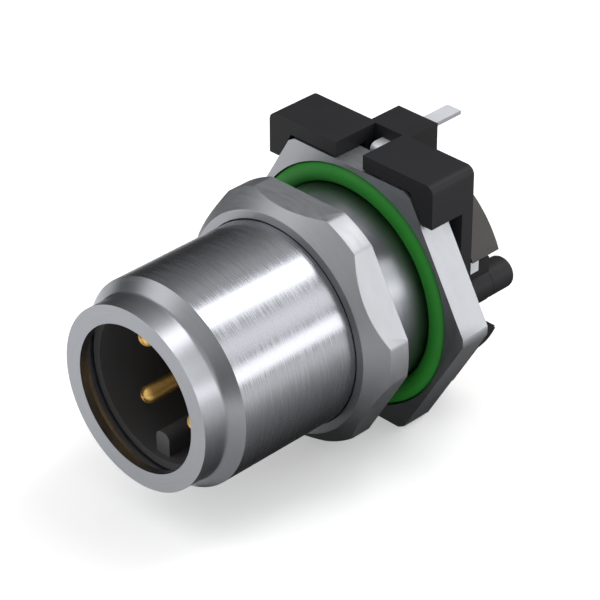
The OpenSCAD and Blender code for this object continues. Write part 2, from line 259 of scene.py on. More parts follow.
# %% The turning marks group
def turning_marks():
    group, given, result = new_group(
        "turning_marks",
        {"Rings per mm": 12.0, "Streaks round the axis": 3.0, "Brushed from mm": -100.0,
         "Brushed to mm": 100.0, "Elsewhere": 0.2},
        {"Height": "NodeSocketFloat", "Streaks": "NodeSocketFloat"},
    )
    tree, links = group, group.links
    place = tree.nodes.new("ShaderNodeTexCoord")
    parts = tree.nodes.new("ShaderNodeSeparateXYZ")
    links.new(place.outputs["Object"], parts.inputs[0])
    x, y, z = parts.outputs
    radius = maths(tree, "SQRT", maths(tree, "ADD", maths(tree, "MULTIPLY", x, x),
                                       maths(tree, "MULTIPLY", z, z)))
    beside_axis = 0.01 * MM
    radius = maths(tree, "MAXIMUM", radius, beside_axis)
    y_mm = maths(tree, "MULTIPLY", y, 1 / MM)
    spot = tree.nodes.new("ShaderNodeCombineXYZ")
    for slot, side in ((0, x), (2, z)):
        turned_side = maths(tree, "DIVIDE", side, radius)
        links.new(maths(tree, "MULTIPLY", turned_side, given.outputs["Streaks round the axis"]),
                  spot.inputs[slot])
    along = maths(tree, "ADD", y_mm, maths(tree, "MULTIPLY", radius, 1 / MM))
    links.new(maths(tree, "MULTIPLY", along, given.outputs["Rings per mm"]), spot.inputs[1])
    noise = tree.nodes.new("ShaderNodeTexNoise")
    noise.inputs["Scale"].default_value = 1.0
    noise.inputs["Detail"].default_value = 2.0
    noise.inputs["Roughness"].default_value = 0.55
    links.new(spot.outputs[0], noise.inputs["Vector"])
    after = maths(tree, "GREATER_THAN", y_mm, given.outputs["Brushed from mm"])
    before = maths(tree, "LESS_THAN", y_mm, given.outputs["Brushed to mm"])
    brushed = maths(tree, "MAXIMUM", maths(tree, "MULTIPLY", after, before),
                    given.outputs["Elsewhere"])
    links.new(maths(tree, "MULTIPLY", noise.outputs["Fac"], brushed), result.inputs["Height"])
    spread = tree.nodes.new("ShaderNodeMapRange")
    for label, value in (("From Min", 0.33), ("From Max", 0.67), ("To Min", -0.5), ("To Max", 0.5)):
        spread.inputs[label].default_value = value
    links.new(noise.outputs["Fac"], spread.inputs["Value"])
    streaks = maths(tree, "MULTIPLY", spread.outputs["Result"], brushed)
    links.new(maths(tree, "ADD", streaks, 0.5, clamp=True), result.inputs["Streaks"])
    return group


# %% [markdown]
# ### Fine grain
# Moulded plastic, rubber and tinned sheet have a grain without direction. Two noises, one fine
# and one wide, give a height for the bump and a mask for small changes of colour and gloss.

# %% The grain group
def surface_grain():
    group, given, result = new_group(
        "surface_grain",
        {"Grains per mm": 12.0},
        {"Height": "NodeSocketFloat", "Clouds": "NodeSocketFloat"},
    )
    tree, links = group, group.links
    place = tree.nodes.new("ShaderNodeTexCoord")
    fine = tree.nodes.new("ShaderNodeTexNoise")
    fine.inputs["Detail"].default_value = 4.0
    links.new(place.outputs["Object"], fine.inputs["Vector"])
    links.new(maths(tree, "MULTIPLY", given.outputs["Grains per mm"], 1 / MM), fine.inputs["Scale"])
    links.new(fine.outputs["Fac"], result.inputs["Height"])
    wide = tree.nodes.new("ShaderNodeTexNoise")
    wide.inputs["Detail"].default_value = 2.0
    wide.inputs["Scale"].default_value = 0.6 / MM
    links.new(place.outputs["Object"], wide.inputs["Vector"])
    links.new(wide.outputs["Fac"], result.inputs["Clouds"])
    return group


TURNING = turning_marks()
GRAIN = surface_grain()
print("node groups:", TURNING.name, GRAIN.name)

# %% [markdown]
# ## A material from its marks
# All finishes start alike: a Principled BSDF with its plain values set on its own sockets,
# one group for the marks, a Bump node for their height, and a Mix for the small changes of
# colour and a Map Range for those of gloss. Brushed metal also stretches its highlights, and
# the direction for that is the way round the axis.

# %% The way round a turned piece
def way_round(tree):
    """The direction in which the marks run: at right angles to the surface and to the axis."""
    surface = tree.nodes.new("ShaderNodeNewGeometry")
    cross = tree.nodes.new("ShaderNodeVectorMath")
    cross.operation = "CROSS_PRODUCT"
    cross.inputs[1].default_value = (0, 1, 0)
    tree.links.new(surface.outputs["Normal"], cross.inputs[0])
    place = tree.nodes.new("ShaderNodeTexCoord")
    parts = tree.nodes.new("ShaderNodeSeparateXYZ")
    on_end_faces = tree.nodes.new("ShaderNodeCombineXYZ")
    tree.links.new(place.outputs["Object"], parts.inputs[0])
    tree.links.new(maths(tree, "MULTIPLY", parts.outputs["Z"], -1), on_end_faces.inputs["X"])
    tree.links.new(parts.outputs["X"], on_end_faces.inputs["Z"])
    total = tree.nodes.new("ShaderNodeVectorMath")
    tree.links.new(cross.outputs[0], total.inputs[0])
    tree.links.new(on_end_faces.outputs[0], total.inputs[1])
    return total.outputs[0]


# %% Build one material
def finish_material(name, colour, darker, rough, group, settings, depth, metallic=0.0,
                    brushed=0.0, **shader_values):
    """A Principled material with a marks group.

    Rough is its (smoothest, roughest) value, and depth the marks' height in millimetres."""
    material = bpy.data.materials.new(name)
    material.use_nodes = True
    material.diffuse_color = (*colour, 1.0)
    tree = material.node_tree
    shader = tree.nodes["Principled BSDF"]
    shader.inputs["Metallic"].default_value = metallic
    for label, value in shader_values.items():
        shader.inputs[label.replace("_", " ")].default_value = value
    marks = tree.nodes.new("ShaderNodeGroup")
    marks.node_tree = group
    for label, value in settings.items():
        marks.inputs[label].default_value = value
    height, cover = marks.outputs[0], marks.outputs[1]
    tone = tree.nodes.new("ShaderNodeMix")
    tone.data_type = "RGBA"
    tone.inputs["A"].default_value = (*darker, 1.0)
    tone.inputs["B"].default_value = (*colour, 1.0)
    tree.links.new(cover, tone.inputs["Factor"])
    tree.links.new(tone.outputs["Result"], shader.inputs["Base Color"])
    gloss = tree.nodes.new("ShaderNodeMapRange")
    gloss.inputs["To Min"].default_value = rough[0]
    gloss.inputs["To Max"].default_value = rough[1]
    tree.links.new(cover, gloss.inputs["Value"])
    tree.links.new(gloss.outputs["Result"], shader.inputs["Roughness"])
    bump = tree.nodes.new("ShaderNodeBump")
    bump.inputs["Distance"].default_value = depth * MM
    bump.inputs["Strength"].default_value = 1.0
    tree.links.new(height, bump.inputs["Height"])
    tree.links.new(bump.outputs["Normal"], shader.inputs["Normal"])
    if brushed:
        shader.inputs["Anisotropic"].default_value = brushed
        shader.inputs["Anisotropic Rotation"].default_value = 0.25
        tree.links.new(way_round(tree), shader.inputs["Tangent"])
    return material


# %% The finishes of this connector
# painted reflection: the shell's and the nut's nickels lean a little to blue, for a bluish room in
# their reflections
shell_metal = finish_material(
    "turned_nickel", (0.36, 0.37, 0.396), (0.3, 0.308, 0.33), (0.2, 0.3), TURNING,
    {"Rings per mm": 11.0, "Streaks round the axis": 3.0, "Brushed from mm": -13.62,
     "Brushed to mm": -5.5, "Elsewhere": 0.08}, 0.0006, metallic=1.0, brushed=0.7,
)
smooth_metal = finish_material(
    "smooth_nickel", (0.315, 0.325, 0.346), (0.295, 0.304, 0.324), (0.3, 0.36), TURNING,
    {"Rings per mm": 9.0, "Streaks round the axis": 3.0}, 0.0004, metallic=1.0,
)
nut_metal = finish_material(
    "satin_nickel", (0.36, 0.368, 0.386), (0.335, 0.343, 0.36), (0.42, 0.5), TURNING,
    {"Rings per mm": 6.0, "Streaks round the axis": 6.0}, 0.0003, metallic=1.0,
)
# painted shade: a nickel made very dark for the waist and the skirt, which lie in shade behind the
# flange and the holder
shaded_skirt_metal = finish_material(
    "shade_painted_nickel", (0.062, 0.06, 0.057), (0.055, 0.053, 0.05), (0.45, 0.55), TURNING,
    {"Rings per mm": 6.0, "Streaks round the axis": 4.0}, 0.0002, metallic=1.0,
)
green_rubber = finish_material(
    "green_rubber", (0.018, 0.225, 0.02), (0.014, 0.18, 0.016), (0.5, 0.6), GRAIN,
    {"Grains per mm": 14.0}, 0.001, Specular_IOR_Level=0.25,
)
black_plastic = finish_material(
    "black_moulding", (0.019, 0.019, 0.021), (0.015, 0.015, 0.017), (0.45, 0.55), GRAIN,
    {"Grains per mm": 10.0}, 0.001, Specular_IOR_Level=0.15,
)
# painted light: the black moulding made greyer for the lit mouth, and greyer still for its front
# faces
mouth_lit_plastic = finish_material(
    "mouth_lit_moulding", (0.07, 0.07, 0.073), (0.058, 0.058, 0.06), (0.45, 0.55), GRAIN,
    {"Grains per mm": 10.0}, 0.001, Specular_IOR_Level=0.4,
)
front_lit_plastic = finish_material(
    "front_lit_moulding", (0.13, 0.13, 0.133), (0.11, 0.11, 0.113), (0.45, 0.55), GRAIN,
    {"Grains per mm": 10.0}, 0.001, Specular_IOR_Level=0.4,
)
gold_contact = finish_material(
    "gold_plating", (1.0, 0.66, 0.22), (0.95, 0.58, 0.18), (0.45, 0.5), TURNING,
    {"Rings per mm": 10.0, "Streaks round the axis": 5.0}, 0.0002, metallic=1.0, brushed=0.9,
)
tinned_sheet = finish_material(
    "tinned_sheet", (0.78, 0.8, 0.84), (0.7, 0.72, 0.76), (0.3, 0.4), GRAIN,
    {"Grains per mm": 5.0}, 0.0004, metallic=0.4,
)
# partly painted shade: bare sheared metal, made darker for the shade on the blade's sides
sheared_and_shaded_edge = finish_material(
    "sheared_and_shaded_edge", (0.42, 0.43, 0.45), (0.36, 0.37, 0.39), (0.4, 0.5), GRAIN,
    {"Grains per mm": 5.0}, 0.0004, metallic=0.4,
)
print("materials:", len(bpy.data.materials))

# %% [markdown]
# ## Handing a piece over
# A finished piece is shrunk to metres, gets its material, rides on the body that carries it,
# and takes the place of its part of the frame. Its volume and the count of its open edges are
# printed, because a cut or a join that went wrong shows there first.

# %% Hand over a piece
def hand_over(piece, body, material, slot, *nodes):
    """Finishes a piece that was modelled in millimetres and puts it in its nodes' place."""
    bpy.ops.object.select_all(action="DESELECT")
    bpy.context.view_layer.objects.active = piece
    piece.select_set(True)
    piece.scale = (MM, MM, MM)
    bpy.ops.object.transform_apply(location=True, rotation=True, scale=True)
    piece.data.materials.clear()
    piece.data.materials.append(material)
    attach(piece, body)
    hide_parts(*nodes)
    solid = bmesh.new()
    solid.from_mesh(piece.data)
    open_edges = sum(not edge.is_manifold for edge in solid.edges)
    volume = solid.calc_volume() / MM ** 3
    solid.free()
    size = [round(d / MM, 2) for d in piece.dimensions]
    print(f"{piece.name}: {len(piece.data.polygons)} faces, {size} mm, {volume:.1f} mm3, "
          f"{open_edges} open edges")


# %% Give some faces another finish
def refinish(piece, material, chosen):
    """Faces for which chosen(centre in mm, normal) is true get the material."""
    piece.data.materials.append(material)
    count = 0
    for face in piece.data.polygons:
        if chosen(face.center / MM, face.normal):
            face.material_index = len(piece.data.materials) - 1
            count += 1
    print(f"{material.name} on {count} faces of {piece.name}")


# %% [markdown]
# ## The shell
# The real shell is turned from hexagon bar: nose, thread, neck, flange, waist and skirt come
# off the lathe in one clamping, and the bar's own flats are left on the flange. Here it is spun
# from a single outline that goes up the outside and back through the bore. The flange starts as
# a round disc, and six bisect cuts mill its flats.

# %% Turn the shell
mouth_r = 4.25
bore_r = 4.98
rear_bore_r = 5.2
step_y = -4.3
nose_r = 5.3
nose_y = -14.3
relief_y = -5.45
relief_end_y = -4.75
relief_r = 5.5
groove_r = 7.25
groove_y = 0.9
flange_corner_r = 8.58
nose_fillet = 0.4
reach = nose_fillet * math.tan(math.radians(22.5))

shell_profile = (
    [(mouth_r, mouth_y), (nose_r, mouth_y)]
    + arc(nose_r + nose_fillet, nose_y - reach, nose_fillet, 180, 135, 5)
    + [(thread_r, nose_y + thread_r - nose_r), (thread_r, relief_y), (relief_r, relief_y)]
    + [(relief_r, relief_end_y), (thread_r, relief_end_y), (thread_r, groove_y)]
    + [(groove_r, groove_y), (groove_r, 0), (flange_corner_r, 0), (flange_corner_r, flange_t)]
    + [(waist_r, flange_t), (waist_r, skirt_y), (skirt_r, skirt_y), (skirt_r, board_y)]
    + [(rear_bore_r, board_y), (rear_bore_r, step_y), (bore_r, step_y)]
    + [(bore_r, mouth_y + lip_t), (mouth_r, mouth_y + lip_t)]
)
shell = turn("shell_body", shell_profile, 192)
print("shell outline points:", len(shell_profile))


# %% Mill six flats
def mill_flats(piece, across_flats):
    """Cuts the six flats of a hexagon that has one flat on top."""
    bpy.ops.object.select_all(action="DESELECT")
    bpy.context.view_layer.objects.active = piece
    bpy.ops.object.mode_set(mode="EDIT")
    for side in range(6):
        angle = math.radians(30 + 60 * side)
        outward = Vector((math.cos(angle), 0, math.sin(angle)))
        bpy.ops.mesh.select_all(action="SELECT")
        bpy.ops.mesh.bisect(plane_co=outward * across_flats / 2, plane_no=outward,
                            use_fill=True, clear_outer=True)
    bpy.ops.object.mode_set(mode="OBJECT")


# %% Mill the flange and cut the skirt's two slots
mill_flats(shell, flange_af)
slot_half = 2.53
for side in (-1, 1):
    inner, outer = sorted((side * (rear_bore_r - 2 * PAST), side * (flange_corner_r + PAST)))
    cut(shell, block("slot_cutter", (inner, flange_t, -slot_half),
                     (outer, board_y + 2 * PAST, slot_half)))
soften(shell, width=0.035)
hand_over(shell, "housing", shell_metal, "shell_metal", "shell")

# %% [markdown]
# Only the barrel is brushed. The nose and the neck are smooth, the flange wears the same satin
# finish as the nut, and the waist and the skirt behind the panel get a nickel painted very dark,
# as painted shade behind the flange and the holder.

# %% Finish the nose, the neck and the flange, and paint shade on the skirt
margin = 0.1
barrel_from = nose_y + thread_r - nose_r + margin / 2
barrel_to = relief_y - margin / 2


def on_the_flange(centre, normal):
    return centre.y > -margin and Vector((centre.x, centre.z)).length > thread_r + margin


refinish(shell, smooth_metal, lambda centre, normal: not barrel_from < centre.y < barrel_to)
refinish(shell, nut_metal, on_the_flange)
# painted shade on every face behind the flange
refinish(shell, shaded_skirt_metal, lambda centre, normal: centre.y > flange_t + margin)

# %% [markdown]
# ## The panel nut
# The nut starts on the lathe too: a ring with a flat front face and a cone behind it. Milling
# the flats through that cone leaves the curved edges that every turned hexagon nut shows, so
# they need no drawing of their own.

# %% Turn and mill the nut
nut_back_y = -3.05
nut_front_y = -5.54
nut_corner_r = 7.5
nut_ring_r = 6.55
nut_bore_r = 6.04
nut_af = 14.0
cone_slope = 1.2
cone_end_y = nut_front_y + cone_slope * (nut_corner_r - nut_ring_r)
nut_profile = [(nut_bore_r, nut_front_y), (nut_ring_r, nut_front_y), (nut_corner_r, cone_end_y),
               (nut_corner_r, nut_back_y), (nut_bore_r, nut_back_y)]
nut = turn("hexagon_nut", nut_profile, 192)
mill_flats(nut, nut_af)
soften(nut, width=0.035)
hand_over(nut, "nut", nut_metal, "nut_metal", "panel_nut")

# %% [markdown]
# ## The sealing ring
# An O-ring sits in the flange's groove and stands a little proud, to be pressed by the panel.
# It is a torus whose section gets a faint flat where it lies on the groove's floor and walls,
# because rubber always settles a little.

# %% Shape the sealing ring
seal_mean_r = 6.62
seal_section_r = 0.59
seal_y = 0.31
settled = 0.97
bpy.ops.object.select_all(action="DESELECT")
bpy.ops.mesh.primitive_torus_add(major_segments=160, minor_segments=32, major_radius=seal_mean_r,
                                 minor_radius=seal_section_r, rotation=(math.radians(90), 0, 0),
                                 location=(0, seal_y, 0))
seal = bpy.context.active_object
seal.name = "sealing_ring"
bpy.ops.object.transform_apply(location=True, rotation=True, scale=True)
bpy.ops.object.mode_set(mode="EDIT")
mesh = bmesh.from_edit_mesh(seal.data)
groove_floor_y = seal_y + seal_section_r * settled
for vertex in mesh.verts:
    vertex.select = vertex.co.y > groove_floor_y
mesh.select_flush(True)
bmesh.update_edit_mesh(seal.data)
bpy.ops.transform.resize(value=(1, 0, 1), center_override=(0, groove_floor_y, 0))
bpy.ops.object.mode_set(mode="OBJECT")
bpy.ops.object.shade_smooth()
hand_over(seal, "housing", green_rubber, "green_rubber", "flange_seal")

# %% [markdown]
# ## The contact carrier
# One black moulding holds the four contacts, lines the mouth as a cup, codes the plug with a
# key, and pegs the connector to the circuit board. The cup and the rear body are spun, and
# the key, lugs and pegs are joined on.

# %% Turn the carrier's body
carrier_r = 4.95
carrier_rear_r = 5.15
rim_y = -14.3
rim_chamfer = 0.1
cup_r = 4.38
cup_floor_y = -5.3
seal_groove_r = 4.6
seal_groove_from = -2.5
seal_groove_to = -1.7
carrier_profile = [
    (0, cup_floor_y), (cup_r, cup_floor_y), (cup_r, rim_y), (carrier_r - rim_chamfer, rim_y),
    (carrier_r, rim_y + rim_chamfer), (carrier_r, step_y + fit), (carrier_rear_r, step_y + fit),
    (carrier_rear_r, seal_groove_from), (seal_groove_r, seal_groove_from),
    (seal_groove_r, seal_groove_to), (carrier_rear_r, seal_groove_to),
    (carrier_rear_r, carrier_end_y), (0, carrier_end_y),
]
carrier = turn("contact_moulding", carrier_profile, 162)
print("cup depth in mm:", round(cup_floor_y - rim_y, 2))

# %% Join the coding key
key_half = 0.5
key_root_z = -4.6
key_top_z = -3.0
key_front_y = -13.93
key_round = 0.4
front_round = 0.3
key_sunk = 0.2
key_outline = (
    [(-key_half, key_root_z), (key_half, key_root_z)]
    + arc(key_half - key_round, key_top_z - key_round, key_round, 0, 90)
    + arc(-key_half + key_round, key_top_z - key_round, key_round, 90, 180)
)
key = pull("key", key_outline, key_front_y, cup_floor_y + key_sunk)
bpy.ops.object.mode_set(mode="EDIT")
mesh = bmesh.from_edit_mesh(key.data)
for edge in mesh.edges:
    edge.select = all(v.co.y < key_front_y + TINY for v in edge.verts)
bmesh.update_edit_mesh(key.data)
bpy.ops.mesh.bevel(offset=front_round, segments=5)
bpy.ops.object.mode_set(mode="OBJECT")
join(carrier, key)
print("key stands", round(key_top_z + cup_r, 2), "mm above the cup's wall")

# %% [markdown]
# The lugs stand in the slots of the skirt, with a round side towards the board peg. The peg's
# end is rounded, so that it finds its hole.

# %% Join the lugs and pegs
peg_r = 0.95
peg_sunk = 0.1
lug_x = 5.5
lug_root_x = 4.55
lug_top = 1.8
lug_round = 0.2
lug_side_r = 0.94
peg_end_y = 7.2
peg_round = 0.3
peg_profile = (
    [(0, board_y - peg_sunk), (peg_r, board_y - peg_sunk)]
    + arc(peg_r - peg_round, peg_end_y - peg_round, peg_round, 0, 90)
    + [(0, peg_end_y)]
)
for side in (-1, 1):
    lug_outline = [(side * x, z) for x, z in (
        (lug_root_x, -lug_side_r), (lug_x, -lug_side_r), (lug_x, lug_top), (lug_root_x, lug_top))]
    lug = pull("lug", lug_outline, skirt_y, board_y)
    bpy.ops.object.mode_set(mode="EDIT")
    mesh = bmesh.from_edit_mesh(lug.data)
    for edge in mesh.edges:
        edge.select = all(v.co.y > board_y - TINY and v.co.z > lug_top - TINY for v in edge.verts)
    bmesh.update_edit_mesh(lug.data)
    bpy.ops.mesh.bevel(offset=lug_round, segments=4)
    bpy.ops.object.mode_set(mode="OBJECT")
    join(carrier, lug)
    lug_side = [(side * (peg_x + dx), dz) for dx, dz in arc(0, 0, lug_side_r, -90, 90, 16)]
    join(carrier, pull("lug_side", lug_side, skirt_y, board_y))
    join(carrier, turn("peg", peg_profile, 48, x=side * peg_x))
print("pegs", 2 * peg_x, "mm apart")

# %% Bore the four contact seats
pin_r = 0.5
collar_r = 0.75
collar_y = 3.4
mouth_bevel = 0.12
seat_profile = [
    (0, cup_floor_y - PAST), (pin_r + mouth_bevel + PAST, cup_floor_y - PAST),
    (pin_r + fit, cup_floor_y + mouth_bevel - fit), (pin_r + fit, collar_y - fit),
    (collar_r + fit, collar_y - fit), (collar_r + fit, carrier_end_y + PAST),
    (0, carrier_end_y + PAST),
]
for angle in contact_angles:
    x = contact_circle_r * math.cos(math.radians(angle))
    z = contact_circle_r * math.sin(math.radians(angle))
    cut(carrier, turn("seat", seat_profile, 32, x=x, z=z))
soften(carrier, width=0.04)
hand_over(carrier, "housing", black_plastic, "black_plastic", "contact_carrier")

# %% [markdown]
# The moulding inside the mouth is painted a little greyer than at the back, as painted light on
# the lit front, and greyest on the rim and the key's front, whose faces turn to the light in front.

# %% Paint light into the mouth
front_lit_end_y = key_front_y + margin
facing_front = -0.5
refinish(carrier, mouth_lit_plastic, lambda centre, normal: centre.y < cup_floor_y + margin)
refinish(carrier, front_lit_plastic,
         lambda centre, normal: centre.y < front_lit_end_y and normal.y < facing_front)

# %% [markdown]
# ## The contacts
# Each contact is turned: a rounded tip, a straight pin, a collar that holds it in the carrier
# and a thinner tail for the board. One is spun and finished, and the others are copies with
# meshes of their own.

# %% Turn one contact and copy it
tip_y = -13.58
tip_round = 0.4
tail_r = 0.4
tail_end_y = 8.5
tail_bevel = 0.15
pin_profile = (
    [(0, tip_y)]
    + arc(pin_r - tip_round, tip_y + tip_round, tip_round, -90, 0)
    + [(pin_r, collar_y), (collar_r, collar_y), (collar_r, carrier_end_y), (tail_r, carrier_end_y)]
    + [(tail_r, tail_end_y - tail_bevel), (tail_r - tail_bevel, tail_end_y), (0, tail_end_y)]
)
first = turn("contact", pin_profile, 48)
soften(first, width=0.03)
for number, angle in enumerate(contact_angles, start=1):
    bpy.ops.object.select_all(action="DESELECT")
    bpy.context.view_layer.objects.active = first
    first.select_set(True)
    bpy.ops.object.duplicate(linked=False)
    pin = bpy.context.active_object
    pin.name = f"contact_{number}"
    x = contact_circle_r * math.cos(math.radians(angle)) * MM
    z = contact_circle_r * math.sin(math.radians(angle)) * MM
    pin.location = (x, 0, z)
    hand_over(pin, "housing", gold_contact, "gold_contact", f"contact_pin_{number}")
bpy.data.objects.remove(first)

# %% [markdown]
# ## The board holder
# A moulded clip is pushed over the flange from above. Two arms lie on the flange's top flat,
# fingers reach down its sloping flats, and a plate goes down behind the flange with the ground
# blade's block in its middle. All of it is outlines pulled along the axis and joined.

# %% Draw the arms
holder_top = 8.51
holder_half = 6.06
edge_round = 0.5
arm_y = 0.08
plate_y = 2.48
plate_back_y = 3.33
finger_end = 5.97
notch_half = 1.0
holder_gap = 0.08
arm_bottom = flange_af / 2 + holder_gap


def flat_x(z):
    """Where the finger's inner face lies at height z, along the flange's 30 degree flat."""
    return (arm_bottom - z * math.sin(math.radians(30))) / math.cos(math.radians(30))


def arm_outline(side):
    """An arm and its finger, seen along the axis; side is 1 for the right and -1 for the left."""
    right = (
        [(notch_half, arm_bottom), (flat_x(arm_bottom), arm_bottom)]
        + [(flat_x(finger_end), finger_end), (holder_half, finger_end)]
        + arc(holder_half - edge_round, holder_top - edge_round, edge_round, 0, 90, 8)
        + [(notch_half, holder_top)]
    )
    return [(side * x, z) for x, z in right]


print("fingers reach down to", finger_end, "mm above the axis")


# %% [markdown]
# The plate's outline is a U: it fits round the waist and is open below, so that it can be
# pushed on. Its feet are cut like the flange, and a small boss on each side stands in the slot.

# %% Pull the plate with its feet
foot_top = -0.6
foot_af = 14.36
foot_inner = 5.1


def foot_x(z):
    """The outer edge of a foot at height z, on a hexagon with a flat below."""
    return (foot_af / 2 - abs(z) / 2) / math.cos(math.radians(30))


foot_tip_z = -(foot_af - 2 * foot_inner * math.cos(math.radians(30)))
waist_gap_r = 5.68
way_in_end = math.degrees(math.acos(foot_inner / waist_gap_r))
boss_bottom_end = math.degrees(math.asin(foot_top / waist_gap_r))
boss_top_end = math.degrees(math.acos(rear_bore_r / waist_gap_r))
right_half = (
    arc(0, 0, waist_gap_r, 90, boss_top_end, 30) + [(rear_bore_r, foot_top)]
    + arc(0, 0, waist_gap_r, boss_bottom_end, -way_in_end, 8)
    + [(foot_inner, foot_tip_z), (foot_x(foot_top), foot_top), (holder_half, foot_top)]
    + arc(holder_half - edge_round, holder_top - edge_round, edge_round, 0, 90, 8)
)
left_half = [(-x, z) for x, z in reversed(right_half[1:])]
holder = pull("board_clip", right_half + left_half, plate_y, plate_back_y)
print("plate reaches", round(foot_x(foot_top), 2), "mm to each side")

# %% [markdown]
# Arms and block only touch the plate before they are joined. Solids that overlap with several
# faces in one plane are hard for a boolean, and solids that share one face are easy. Then the
# notch between the arms, the blade's slot and the pockets of the side tabs are cut.

# %% Join the arms and the block
block_half = 1.45
block_bottom = 6.71
for side in (-1, 1):
    join(holder, pull("arm", arm_outline(side), arm_y, plate_y))
join(holder, block("blade_block", (-block_half, plate_back_y, block_bottom),
                   (block_half, board_y, holder_top)))

# %% Cut the notch, the blade's slot and the pockets
notch_end_y = 3.17
sheet_t = 0.25
blade_half = 0.5
blade_top = 7.8
tab_x = 5.53
tab_bottom = 1.53
tab_top = 2.36
pocket_top = 2.51
pocket_from, pocket_to = 0, 5
play = 0.03
cut(holder, block("notch", (-notch_half, arm_y - PAST, ring_outer_r),
                  (notch_half, notch_end_y, holder_top + PAST)))
cut(holder, block("blade_slot", (-blade_half - play, plate_y - PAST, blade_top - sheet_t - play),
                  (blade_half + play, board_y + PAST, blade_top + play)))
for side in (-1, 1):
    inner, outer = sorted((side * (tab_x - play), side * (tab_x + sheet_t + play)))
    cut(holder, block("pocket", (inner, pocket_from, tab_bottom - play),
                      (outer, pocket_to, pocket_top)))
soften(holder, width=0.05)
hand_over(holder, "housing", black_plastic, "black_plastic", "board_holder")

# %% [markdown]
# ## The ground terminal
# A stamping of thin sheet is clamped between flange and holder. Its ring is one pulled
# outline. The blade starts as the upright strip behind the flange: its top face is spun
# through a quarter turn, as the press bends it, and then pulled straight back to the board.

# %% Stamp the ring
sheet_y = 2.22
sheet_back_y = 2.47
ring_inner_r = 5.7
ring_end_z = -2.0
outer_end = math.degrees(math.asin(ring_end_z / ring_outer_r))
inner_end = math.degrees(math.asin(ring_end_z / ring_inner_r))
ring_outline = (arc(0, 0, ring_outer_r, outer_end, 180 - outer_end, 72)
                + arc(0, 0, ring_inner_r, 180 - inner_end, inner_end, 72))
terminal = pull("ground_stamping", ring_outline, sheet_y, sheet_back_y)
print("ring width in mm:", round(ring_outer_r - ring_inner_r, 2))

# %% Bend the blade
bend_r = 0.4
blade_end_y = 8.47
facing = 0.9
blade_root_z = 6.3
blade = block("blade", (-blade_half, sheet_y, blade_root_z),
              (blade_half, sheet_back_y, blade_top - bend_r))
bpy.ops.object.mode_set(mode="EDIT")
mesh = bmesh.from_edit_mesh(blade.data)
for face in mesh.faces:
    face.select = face.normal.z > facing
bmesh.update_edit_mesh(blade.data)
bpy.ops.mesh.spin(steps=8, angle=math.pi / 2, center=(0, sheet_y + bend_r, blade_top - bend_r),
                  axis=(1, 0, 0))
straight = blade_end_y - sheet_y - bend_r
bpy.ops.mesh.extrude_region_move(TRANSFORM_OT_translate={"value": (0, straight, 0)})
bpy.ops.mesh.select_all(action="SELECT")
bpy.ops.mesh.remove_doubles(threshold=TINY)
bpy.ops.mesh.normals_make_consistent(inside=False)
print("blade's straight length in mm:", round(straight, 2))
bpy.ops.object.mode_set(mode="OBJECT")
join(terminal, blade)

# %% Add the side tabs and the contact bumps
tab_end_y = 4.3
bump_angles = (0, 50, 130, 180)
bump_ring_r = (ring_inner_r + ring_outer_r) / 2
bump_root_r = 0.35
bump_tip_r = bump_root_r / 2
bump_tip_y = flange_t + fit
bump_root_y = sheet_y + 0.05
for side in (-1, 1):
    inner, outer = sorted((side * tab_x, side * (tab_x + sheet_t)))
    join(terminal, block("side_tab", (inner, sheet_y, tab_bottom), (outer, tab_end_y, tab_top)))
bump_profile = [(0, bump_tip_y), (bump_tip_r, bump_tip_y), (bump_root_r, bump_root_y),
                (0, bump_root_y)]
for angle in bump_angles:
    x = bump_ring_r * math.cos(math.radians(angle))
    z = bump_ring_r * math.sin(math.radians(angle))
    join(terminal, turn("bump", bump_profile, 32, x=x, z=z))
soften(terminal, width=0.03)
hand_over(terminal, "housing", tinned_sheet, "tinned_sheet", "ground_terminal")

# %% [markdown]
# The press shears the blade out of tinned sheet, so its cut sides are bare and duller than its
# faces. Their darker colour is also painted shade on the blade's sides.

# %% Dull and shade the blade's cut sides
blade_foot_z = 7.0
refinish(terminal, sheared_and_shaded_edge,
         lambda centre, normal: abs(normal.x) > facing and centre.z > blade_foot_z)

# %% [markdown]
# ## The hidden seal
# The ring between carrier and shell never shows, so its part of the frame stays and only gets
# the rubber.

# %% Give the hidden seal its rubber
hidden_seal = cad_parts["carrier_seal"]
hidden_seal.data.materials.clear()
hidden_seal.data.materials.append(green_rubber)
print("kept from the frame:", hidden_seal.name)

# %% [markdown]
# ## Floor and backdrop
# The picture has a plain white ground. The floor lies under the lowest flat of the flange. It
# is a plain white surface, lifted a little for the camera and for reflections, so that it
# reads as white while the object's shadow stays on it.

# %% Lay the floor
floor_z = -flange_af / 2
floor_white = 0.8
floor_lift = 0.35
bpy.ops.object.select_all(action="DESELECT")
bpy.ops.mesh.primitive_plane_add(size=4, location=(0, 0, floor_z * MM))
floor = bpy.context.active_object
floor.name = "studio_floor"
floor_paint = bpy.data.materials.new("studio_white")
floor_paint.use_nodes = True
tree = floor_paint.node_tree
paint = tree.nodes["Principled BSDF"]
paint.inputs["Base Color"].default_value = (floor_white, floor_white, floor_white, 1)
paint.inputs["Roughness"].default_value = 0.9
paint.inputs["Specular IOR Level"].default_value = 0.0
rays = tree.nodes.new("ShaderNodeLightPath")
seen = maths(tree, "ADD", rays.outputs["Is Camera Ray"], rays.outputs["Is Glossy Ray"], clamp=True)
seen = maths(tree, "ADD", seen, rays.outputs["Is Transmission Ray"], clamp=True)
lift = tree.nodes.new("ShaderNodeEmission")
lift.inputs["Color"].default_value = (1, 1, 1, 1)
tree.links.new(maths(tree, "MULTIPLY", seen, floor_lift), lift.inputs["Strength"])
both = tree.nodes.new("ShaderNodeAddShader")
tree.links.new(paint.outputs[0], both.inputs[0])
tree.links.new(lift.outputs[0], both.inputs[1])
